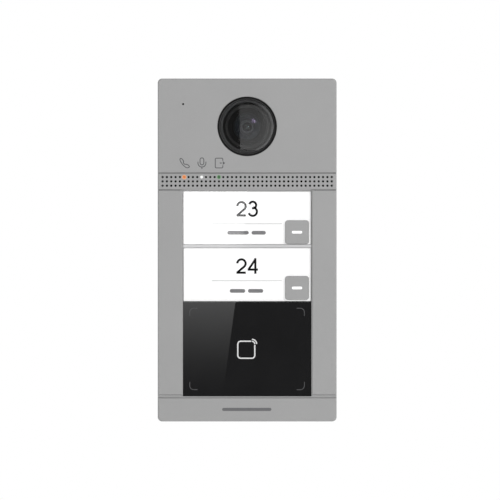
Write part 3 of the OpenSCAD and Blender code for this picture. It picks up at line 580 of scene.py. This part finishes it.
def eased(corner, before, after, reach, steps=3):
    """A corner of a profile replaced by a short curve."""
    start = corner + (before - corner).normalized() * reach
    end = corner + (after - corner).normalized() * reach
    shares = [i / steps for i in range(steps + 1)]
    return [start.lerp(corner, s).lerp(corner.lerp(end, s), s) for s in shares]


def eased_profile(corners, reach):
    """A closed (radius, depth, material) outline with every corner eased."""
    points = [Vector(c[:2]) for c in corners]
    profile = []
    for i, corner in enumerate(corners):
        curve = eased(points[i], points[i - 1], points[(i + 1) % len(points)], reach)
        profile += [(p.x, p.y, corner[2]) for p in curve]
    return profile


def build_bezel():
    """The black rim round the glass, its shelf and the stepped bore behind."""
    corners = [(13.7, 0.3, CHAMFER), (14.0, -0.22, RIM), (14.7, -0.22, RIM), (14.87, -0.05, RIM),
               (14.87, 1.68, RIM), (15.85, 1.72, STEP), (15.85, 2.65, STEP), (13.15, 2.65, STEP),
               (13.15, 4.85, STEP), (10.05, 4.85, STEP), (10.05, 3.98, STEP),
               (11.3, 3.98, STEP), (11.3, 2.4, STEP), (12.1, 1.22, STEP), (13.7, 1.22, STEP)]
    materials = [textured("bezel_rim", 0.006, 0.5, 0.0004, 0.000004, Specular_IOR_Level=0.12),
                 textured("bezel_step", 0.012, 0.6, 0.0004, 0.000004, Specular_IOR_Level=0.1),
                 textured("bezel_chamfer", 0.06, 0.5, 0.0004, 0.000004, Specular_IOR_Level=0.2)]
    bezel = lathe("camera_bezel_ring", CAMERA, eased_profile(corners, 0.1), materials)
    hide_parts("camera_bezel")


def spherical_cap(radius, rim, depth, bulge):
    """Profile points of a cap: radius of its sphere, rim radius, depth of its pole.
    bulge is 1 where it swells to the front and -1 where it is hollow."""
    steps = 10
    reach = math.asin(rim / radius)
    return [(max(radius * math.sin(reach * i / steps), POLE),
             depth + bulge * radius * (1 - math.cos(reach * i / steps)), 0)
            for i in range(steps + 1)]


def build_mask():
    """The dark grey ring that seals the glass, a hair behind it."""
    inner, outer, front, back = 12.25, 13.55, 0.88, 1.18
    corners = [(inner, front, 0), (outer, front, 0), (outer, back, 0), (inner, back, 0)]
    material = textured("camera_mask", (0.052, 0.053, 0.054), 0.6, 0.0003, 0.000005,
                        Specular_IOR_Level=0.2)
    mask = lathe("camera_mask_ring", CAMERA, eased_profile(corners, 0.05), [material])
    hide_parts("camera_seal")


def build_shroud():
    """The black mask behind the glass. Its lip round the edge is painted slightly paler: a painted
    highlight ring.
    """
    lip, dull = 0, 1
    corners = [(7.05, 2.95, dull), (9.75, 2.95, lip), (10.4, 2.52, lip), (11.15, 2.52, dull),
               (11.15, 3.93, dull), (7.05, 3.93, dull)]
    # Painted highlight: the lip is paler than the rest of the mask.
    materials = [textured("shroud_lip_painted_highlight", 0.018, 0.5, 0.0003, 0.000005, Specular_IOR_Level=0.2),
                 textured("shroud_black", 0.005, 0.7, 0.0003, 0.000005, Specular_IOR_Level=0.1)]
    shroud = lathe("camera_shroud_mask", CAMERA, eased_profile(corners, 0.06), materials)
    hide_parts("camera_shroud")


def build_lens():
    """The small inner element, the hollow behind it and the ring that holds them."""
    inner = spherical_cap(radius=2.8, rim=1.9, depth=6.1, bulge=1)
    inner += [(1.9, 7.6, 0), (POLE, 7.6, 0)]
    lathe("lens_inner_element", CAMERA, inner,
          [clear_sheet("inner_lens_glass", (0.95, 0.98, 0.98), 1.7, 0.06)], 48)
    hollow = spherical_cap(radius=2.0, rim=1.7, depth=8.8, bulge=-1)
    hollow += [(2.2, 7.9, 0), (2.2, 10, 0), (POLE, 10, 0)]
    lathe("lens_inner_hollow", CAMERA, hollow,
          [dark_glass("hollow_glass", (0.003, 0.012, 0.011), 0.03)], 48)
    # Painted highlight: the ring's inner chamfer is paler and glossier than its body, for the
    # bright arc; the key light also brightens its lower part.
    bright, dull = 0, 1
    ring = [(2.58, 5.8, bright), (2.86, 5.3, dull), (3.95, 5.75, dull), (3.95, 6.8, dull),
            (2.58, 6.8, dull)]
    lathe("lens_retaining_ring", CAMERA, ring,
          [textured("retaining_ring", 0.045, 0.3, 0.0002, 0.000003),
           textured("retaining_body", 0.02, 0.6, 0.0002, 0.000003)], 64)


# Each lamp's radius in millimetres, and the glow of its core and of its edge.
LAMPS = {
    "call": (1.12, (0.66, 0.18, 0.04), (0.8, 0.36, 0.15)),
    "talk": (0.85, (1.0, 1.0, 1.0), (0.62, 0.62, 0.62)),
    "unlock": (1.0, (0.004, 0.07, 0.008), (0.09, 0.27, 0.09)),
}


def build_lamp_caps():
    """The small domed caps over the light guides, each with a glow of its own in the core
    and round the edge."""
    for name, (radius, core, edge) in LAMPS.items():
        middle = centre_of("indicator_guide_" + name)
        heart, rim = 0, 1
        profile = [(POLE, -0.1, heart), (radius * 0.66, -0.09, rim), (radius * 0.85, -0.05, rim),
                   (radius, -0.005, rim), (radius, 0.002, rim), (POLE, 0.002, heart)]
        materials = [lit("lamp_core_" + name, core, 1.0, 0.02),
                     lit("lamp_edge_" + name, edge, 0.9, 0.05)]
        lathe("indicator_cap_" + name, middle, profile, materials, 32)


# ---------------------------------------------------------------- soft and sprung pieces

PAD_BORE, PAD_TOP_IN, PAD_TOP_OUT, PAD_RADIUS = 4.6, 4.9, 5.9, 6.2
PAD_TAPER = 1.05
SPRING_WIRE = 0.25 * MM
SPRING_TURNS = 4
SPRING_STEPS = 24       # rings of the wire in each turn
SPRING_SIDES = 10


def flattens(piece, node):
    """piece stands for a CAD node, which it hides; piece gets a mesh of its own."""
    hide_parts(node)
    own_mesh(piece)


def build_pads():
    """The silicone rings under the call buttons, tapered where the buttons press them."""
    for side in ("upper", "lower"):
        node = "return_pad_" + side
        low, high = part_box(node)
        top, foot = (low.y - FRONT) / MM, (high.y - FRONT) / MM
        profile = [(PAD_BORE, foot, 0), (PAD_BORE, top + PAD_TAPER, 0), (PAD_TOP_IN, top, 0),
                   (PAD_TOP_OUT, top, 0), (PAD_RADIUS, top + PAD_TAPER, 0), (PAD_RADIUS, foot, 0)]
        pad = lathe("silicone_pad_" + side, centre_of(node), profile,
                    [MATERIALS["silicone"]], 48)
        flattens(pad, node)


def coil_points(low, high, middle):
    """The wire's rings of points, along a coil that fills the box from front to back."""
    coil = (high.x - low.x) / 2 - SPRING_WIRE
    rings = SPRING_TURNS * SPRING_STEPS
    verts = []
    for i in range(rings + 1):
        turn = 2 * math.pi * i / SPRING_STEPS
        along = low.y + SPRING_WIRE + (high.y - low.y - 2 * SPRING_WIRE) * i / rings
        for k in range(SPRING_SIDES):
            angle = 2 * math.pi * k / SPRING_SIDES
            reach = coil + SPRING_WIRE * math.cos(angle)
            verts.append((middle.x + reach * math.cos(turn), along + SPRING_WIRE * math.sin(angle),
                          middle.z + reach * math.sin(turn)))
    return verts


def tube_faces(count, sides):
    """The walls of a tube of that many points, in rings of sides, and its two ends."""
    faces = []
    for first in range(0, count - sides, sides):
        for k in range(sides):
            a, b = first + k, first + (k + 1) % sides
            faces.append((a, b, b + sides, a + sides))
    return faces + [tuple(range(sides)), tuple(range(count - sides, count))]


def build_spring():
    """The coil spring between the board and the tamper plunger's collar."""
    low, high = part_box("tamper_spring")
    verts = coil_points(low, high, centre_of("tamper_spring"))
    faces = tube_faces(len(verts), SPRING_SIDES)
    spring = make_piece("tamper_coil_spring", verts, faces, [MATERIALS["steel"]],
                        smooth=True)
    flattens(spring, "tamper_spring")


# ---------------------------------------------------------------- prints

# The depth and thickness of a print on the metal, on a name card and on the reader's glass.
ON_METAL = (-0.02, 0.04)
ON_CARD = (2.11, 0.03)
ON_READER = (0.585, 0.03)

ICON_Z = 43.75
ICON_LINE = 0.4
HANDSET_X, MICROPHONE_X, DOOR_X = -31.4, -22.75, -14.15
PLAIN_BAR = ((-0.2, -80.2), 24.8, 1.6)      # its middle, width and height

# The heights of the digits' middle, of the divider line and of the name on each plate, and
# the two ends of each bar of the name.
PLATE = {"upper": (20.8, 13.2, 8.7), "lower": (-8.05, -15.5, -20.6)}
NAME_BARS = {"upper": ((-10, 0.8), (2.2, 9.4)), "lower": ((-8.8, -1.0), (0.4, 8.1))}
NAME_LINE = 1.9
DIVIDER_ENDS = (-17.8, 17.5)
DIVIDER_LINE = 0.4
DIGIT_HEIGHT = 7.85
DIGIT_LINE = 1.08
DIGIT_STEP = 5.75

READER_LOW, READER_HIGH = (-28.9, -70.3), (28.8, -29.3)
MARK_ARM, MARK_RADIUS, MARK_LINE = 3.9, 2.0, 0.4
CARD_X, CARD_Z = -0.44, -50.2


def handset_icon(x, z):
    """A telephone handset in outline, lying from upper left to lower right."""
    shape = [(-1.75, 2.35), (-1.0, 1.75), (-0.55, 0.75), (-0.75, 0.15), (-0.1, -0.65),
             (0.65, -0.55), (1.65, -0.9), (2.45, -1.75), (2.0, -2.35), (0.9, -2.45),
             (-0.6, -1.35), (-1.9, 0.35), (-2.45, 1.6), (-2.35, 2.3)]
    points = [Vector((x + u, z + v)) for u, v in shape]
    return [band(smooth_loop(points), ICON_LINE, closed=True)]


def microphone_icon(x, z):
    """A microphone's capsule in its cradle, on a short stem."""
    capsule = rounded_box((x, z + 0.85), 1.9, 3.5, 0.94)
    cradle = [(x - 2.0, z + 0.55)] + arc((x, z), 2.0, 184, 356, 16) + [(x + 2.0, z + 0.55)]
    stem = [(x, z - 2.0), (x, z - 2.75)]
    return [band(capsule, ICON_LINE, closed=True), band(cradle, ICON_LINE, round_ends=True),
            band(stem, 0.45, round_ends=True)]


def door_icon(x, z):
    """A door frame, open on its right side, with an arrow that leaves through the gap."""
    half_w, half_h, radius, gap = 1.9, 2.45, 0.6, 1.15
    frame_line = [(x + half_w, z + gap)]
    frame_line += arc((x + half_w - radius, z + half_h - radius), radius, 0, 90, 5)
    frame_line += arc((x - half_w + radius, z + half_h - radius), radius, 90, 180, 5)
    frame_line += arc((x - half_w + radius, z - half_h + radius), radius, 180, 270, 5)
    frame_line += arc((x + half_w - radius, z - half_h + radius), radius, 270, 360, 5)
    frame_line += [(x + half_w, z - gap)]
    head = [(Vector((x + 1.9, z + 0.95)), Vector((x + 1.9, z - 0.95))),
            (Vector((x + 2.95, z + 0.08)), Vector((x + 2.95, z - 0.08)))]
    dash = [(x + 0.6, z), (x + 1.15, z)]
    return [band(frame_line, ICON_LINE), (head, False), band(dash, 0.5, round_ends=True)]


def digit_two(x, z):
    """The digit 2 on a baseline z, its middle at x."""
    bowl = arc((x, z + 5.15), 2.1, 178, -38, 20)
    foot_z = z + DIGIT_LINE / 2
    return [band(bowl + [Vector((x - 2.2, foot_z))], DIGIT_LINE),
            band([(x - 2.5, foot_z), (x + 2.2, foot_z)], DIGIT_LINE)]


def digit_three(x, z):
    """The digit 3 on a baseline z, its middle at x."""
    upper = arc((x - 0.05, z + 5.75), 1.7, 165, -75, 18)
    lower = arc((x - 0.05, z + 2.45), 2.1, 85, -160, 20)
    middle = [(x - 0.45, z + 4.15), (x + 0.45, z + 4.15)]
    return [band(upper, DIGIT_LINE), band(lower, DIGIT_LINE), band(middle, DIGIT_LINE)]


def digit_four(x, z):
    """The digit 4 on a baseline z, its middle at x."""
    bar_z = z + 2.1
    post_x = x + 1.25
    slope = [(post_x, z + DIGIT_HEIGHT - 0.6), (x - 2.2, bar_z)]
    return [band(slope, DIGIT_LINE), band([(x - 2.6, bar_z), (x + 2.55, bar_z)], DIGIT_LINE),
            band([(post_x, z + DIGIT_HEIGHT), (post_x, z)], DIGIT_LINE)]


def corner_marks():
    """Four corner brackets round the reader's field."""
    marks = []
    for side, level in ((1, 1), (-1, 1), (-1, -1), (1, -1)):
        x = READER_HIGH[0] if side > 0 else READER_LOW[0]
        z = READER_HIGH[1] if level > 0 else READER_LOW[1]
        bend = arc((-MARK_RADIUS, -MARK_RADIUS), MARK_RADIUS, 0, 90, 6)
        line = [(0, -MARK_ARM)] + [tuple(p) for p in bend] + [(-MARK_ARM, 0)]
        marks.append(band([(x + side * u, z + level * v) for u, v in line], MARK_LINE))
    return marks


def card_symbol(x, z):
    """A rounded square whose upper right corner sends out an arc."""
    half, line = 4.28, 0.64
    radius, gap = 1.5, 0.32
    wave_line = line * 0.9
    near = (x + half - radius, z + half - radius)
    outline = [(x + half, near[1] - gap)]
    outline += arc((x + half - radius, z - half + radius), radius, 360, 270, 6)
    outline += arc((x - half + radius, z - half + radius), radius, 270, 180, 6)
    outline += arc((x - half + radius, z + half - radius), radius, 180, 90, 6)
    outline += [(near[0] - gap, z + half)]
    waves = [band(arc(near, radius, 2, 88, 8), wave_line),
             band(arc(near, radius + 1.0, 8, 82, 8), wave_line, round_ends=True)]
    return [band(outline, line)] + waves


def build_front_prints():
    """The three icons above the grille, and the plain bar on the bottom trim."""
    grey_ink = ink("grey_ink", (0.085, 0.085, 0.09))
    icons = {"handset_icon": handset_icon(HANDSET_X, ICON_Z),
             "microphone_icon": microphone_icon(MICROPHONE_X, ICON_Z),
             "door_icon": door_icon(DOOR_X, ICON_Z)}
    for name, bands in icons.items():
        make_print(name, bands, ON_METAL, grey_ink)
    make_print("plain_bar", [bar(*PLAIN_BAR)], ON_METAL, ink("bar_ink", (0.13, 0.13, 0.135)))


def build_card_prints():
    """The flat's number, a divider line, and plain bars in place of a name, on each card."""
    black_ink = ink("black_ink", (0.002, 0.002, 0.002))
    pale_ink = ink("pale_ink", (0.55, 0.55, 0.55))
    name_ink = ink("name_ink", (0.2, 0.2, 0.205))
    second = {"upper": digit_three, "lower": digit_four}
    for side, (digit_z, line_z, name_z) in PLATE.items():
        base = digit_z - DIGIT_HEIGHT / 2
        digits = digit_two(-DIGIT_STEP / 2, base) + second[side](DIGIT_STEP / 2, base)
        make_print("flat_number_" + side, digits, ON_CARD, black_ink)
        divider = band([(x, line_z) for x in DIVIDER_ENDS], DIVIDER_LINE)
        make_print("divider_line_" + side, [divider], ON_CARD, pale_ink)
        bars = [bar(((a + b) / 2, name_z), b - a, NAME_LINE) for a, b in NAME_BARS[side]]
        make_print("name_line_" + side, bars, ON_CARD, name_ink)


def build_reader_prints():
    """The marks at the corners of the reader's field, and the card symbol in its middle."""
    make_print("reader_corner_marks", corner_marks(), ON_READER,
               ink("mark_ink", (0.066, 0.066, 0.068)))
    make_print("reader_card_symbol", card_symbol(CARD_X, CARD_Z), ON_READER,
               ink("white_ink", (0.62, 0.62, 0.62)))


# ---------------------------------------------------------------- the network port


def build_port_shell():
    """The fold, the spring fingers and their slots in the ethernet port's steel shell. The slots
    and the fold are thin dark strips: painted shade.
    """
    low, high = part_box("ethernet_port")
    x, z = (low.x + high.x) / 2 / MM, (low.z + high.z) / 2 / MM
    depth = (high.y - FRONT) / MM - 0.06
    finger, fold_z, half, foot_z = 4.2, z + 4.6, 7.6, z - 6.4
    # Painted shade: the slots and the fold are thin near-black strips on the shell, not openings.
    slots = [band(rounded_box((x + side * finger, z - 1), 3.0, 6.4, 0.6), 0.22, closed=True)
             for side in (-1, 1)]
    slots += [band([(x - half, fold_z), (x + half, fold_z)], 0.16),
              band([(x, fold_z), (x, foot_z)], 0.16)]
    make_print("port_shell_slot_shade", slots, (depth, 0.08), ink("slot_shade", (0.02, 0.02, 0.02)))
    fingers = [band([(x + side * finger, z + 0.8), (x + side * finger, z - 2.4)], 1.3,
                    round_ends=True) for side in (-1, 1)]
    make_print("port_shell_fingers", fingers, (depth, 0.2),
               bright_metal("sprung_finger", (0.72, 0.71, 0.7), 0.2))


# ---------------------------------------------------------------- studio


def look_at(obj, target):
    """Turns a camera or a light towards target."""
    obj.rotation_mode = "QUATERNION"
    obj.rotation_quaternion = (Vector(target) - obj.location).to_track_quat("-Z", "Y")


# A long lens looks straight at the front, a little to the right of its middle, from where
# the picture takes in SIGHT_W at the front's depth.
LENS = 200.0
SENSOR = 36.0
SIGHT_X = 1.43 * MM
SIGHT_W = 251.55 * MM
SIGHT_DISTANCE = SIGHT_W * LENS / SENSOR


def build_camera():
    """The camera of the main picture."""
    data = bpy.data.cameras.new("camera")
    data.lens, data.sensor_width = LENS, SENSOR
    camera = bpy.data.objects.new("camera", data)
    camera.location = (SIGHT_X, FRONT - SIGHT_DISTANCE, 0)
    look_at(camera, (SIGHT_X, 0, 0))
    bpy.context.scene.collection.objects.link(camera)
    bpy.context.scene.camera = camera


def area_light(name, place, power, size, in_gloss=True):
    """A round lamp aimed at the panel. The camera never sees it, and glossy surfaces only
    where in_gloss is true."""
    data = bpy.data.lights.new(name, "AREA")
    data.shape, data.size, data.energy = "DISK", size, power
    light = bpy.data.objects.new(name, data)
    light.location = place
    look_at(light, (0, 0, 0))
    light.visible_camera = False
    light.visible_glossy = in_gloss
    bpy.context.scene.collection.objects.link(light)


def glow_material(name, low, high, bottom, top, power, aside=(0.0, 1.0, 0.0)):
    """White emission that rises from low at height bottom to high at height top, as a power
    of the way up. Aside adds its third value between its two x places."""
    shader = Shader(name)
    place = shader.add("SeparateXYZ", {"Vector": shader.add("NewGeometry").outputs["Position"]})
    share = shader.add("MapRange", {"Value": place.outputs["Z"], "From Min": bottom,
                                    "From Max": top, "To Min": 0.0, "To Max": 1.0})
    curve = shader.add("Math", {0: share, 1: power}, operation="POWER")
    level = shader.add("MapRange", {"Value": curve, "To Min": low, "To Max": high})
    more = shader.add("MapRange", {"Value": place.outputs["X"], "From Min": aside[0],
                                   "From Max": aside[1], "To Min": 0.0, "To Max": aside[2]})
    total = shader.add("Math", {0: level, 1: more}, operation="ADD")
    return shader.finish(shader.add("Emission", {"Color": rgba(1.0), "Strength": total}))


# The cards stand farther from the front than the camera does. Their outlines are given
# where the main picture shows them in the panel, and CARD_SCALE is how much larger they are.
CARD_DISTANCE = 1.8
CARD_SCALE = 1 + CARD_DISTANCE / SIGHT_DISTANCE
CARD_MM = CARD_SCALE * MM


def reflection_card(name, outline, material):
    """A card seen only in reflections: outline is where it shows on the panel, in mm."""
    y = FRONT - CARD_DISTANCE
    verts = [(SIGHT_X + (x * MM - SIGHT_X) * CARD_SCALE, y, z * MM * CARD_SCALE)
             for x, z in outline]
    mesh = bpy.data.meshes.new(name)
    mesh.from_pydata(verts, [], [range(len(verts))])
    mesh.materials.append(material)
    card = bpy.data.objects.new(name, mesh)
    bpy.context.scene.collection.objects.link(card)
    card.visible_camera = card.visible_diffuse = card.visible_shadow = False
    card.visible_transmission = False


def build_reflections():
    """What the glass sees beyond the camera: two bright cards with a slanting right edge,
    over the upper name plate and over the reader, and a soft one over the lens."""
    left = -60
    glow = glow_material("window_card_glow", 0.05, 4.7, -72 * CARD_MM, 21 * CARD_MM, 1.7)
    reflection_card("upper_slanting_card", [(left, 32), (1.1, 32), (-3.0, 1), (left, 1)], glow)
    reflection_card("lower_slanting_card", [(left, -26), (-5.9, -26), (-11.6, -68),
                                            (-12.6, -76), (left, -76)], glow)
    haze = glow_material("lens_card_glow", 1.5, 0.8, 49 * CARD_MM, 73 * CARD_MM, 1.0,
                         (5 * CARD_MM, 10 * CARD_MM, 0.4))
    reflection_card("lens_card", [(-3.5, 50.3), (30, 50.3), (30, 73.1), (-3.9, 73.1)], haze)


ROOM_LEVEL = 0.5
DARK_LEVEL = 0.04
DARK_HALF_ANGLE = math.radians(12)
ROOM_HALF_ANGLE = math.radians(20)


def build_world():
    """White for the camera; for everything else a soft grey room, dark in the cone behind
    the camera."""
    world = bpy.data.worlds.new("studio")
    world.use_nodes = True
    bpy.context.scene.world = world
    sky = Graph(world.node_tree)
    way = sky.add("TexCoord").outputs["Generated"]
    ahead = sky.add("VectorMath", {0: way, 1: (0, -1, 0)}, operation="DOT_PRODUCT")
    level = sky.add("MapRange", {"Value": ahead.outputs["Value"],
                                 "From Min": math.cos(ROOM_HALF_ANGLE),
                                 "From Max": math.cos(DARK_HALF_ANGLE),
                                 "To Min": ROOM_LEVEL, "To Max": DARK_LEVEL})
    room = sky.add("Background", {"Color": rgba(1.0), "Strength": level})
    white = sky.add("Background", {"Color": rgba(1.0)})
    seen = sky.add("LightPath").outputs["Is Camera Ray"]
    sky.end("OutputWorld", sky.add("MixShader", {0: seen, 1: room, 2: white}))


FLOOR_Z = -0.6
FLOOR_R = 4.5


def build_floor():
    """A pale round floor, low enough to stay out of the main picture."""
    mesh = bpy.data.meshes.new("floor")
    rim = arc((0, 0), FLOOR_R, 0, 360, 96)[:-1]
    mesh.from_pydata([(p.x, p.y, FLOOR_Z) for p in rim], [], [range(len(rim))])
    mesh.materials.append(textured("pale_floor", (0.93, 0.93, 0.93), 0.8, 0.01, 0.0001,
                                   spread=0.01, blotch=0.5, Emission_Color=rgba(1.0),
                                   Emission_Strength=0.2))
    floor = bpy.data.objects.new("floor", mesh)
    bpy.context.scene.collection.objects.link(floor)


def build_studio():
    """World, floor, reflection cards and lamps, shown as they are with no tone curve."""
    build_world()
    build_floor()
    build_reflections()
    area_light("key_light", (1.1, -2.15, 1.11), 27.2, 0.6)
    area_light("side_light", (0.62, -0.75, 0.1), 1.8, 0.35, in_gloss=False)
    area_light("fill_light", (-1.3, -2.2, 0.2), 8.2, 1.4, in_gloss=False)
    bpy.context.scene.view_settings.view_transform = "Standard"


paint_nodes()
soften_edges()
build_bezel()
build_mask()
build_shroud()
build_lens()
build_lamp_caps()
build_pads()
build_spring()
build_front_prints()
build_card_prints()
build_reader_prints()
build_port_shell()
build_camera()
build_studio()
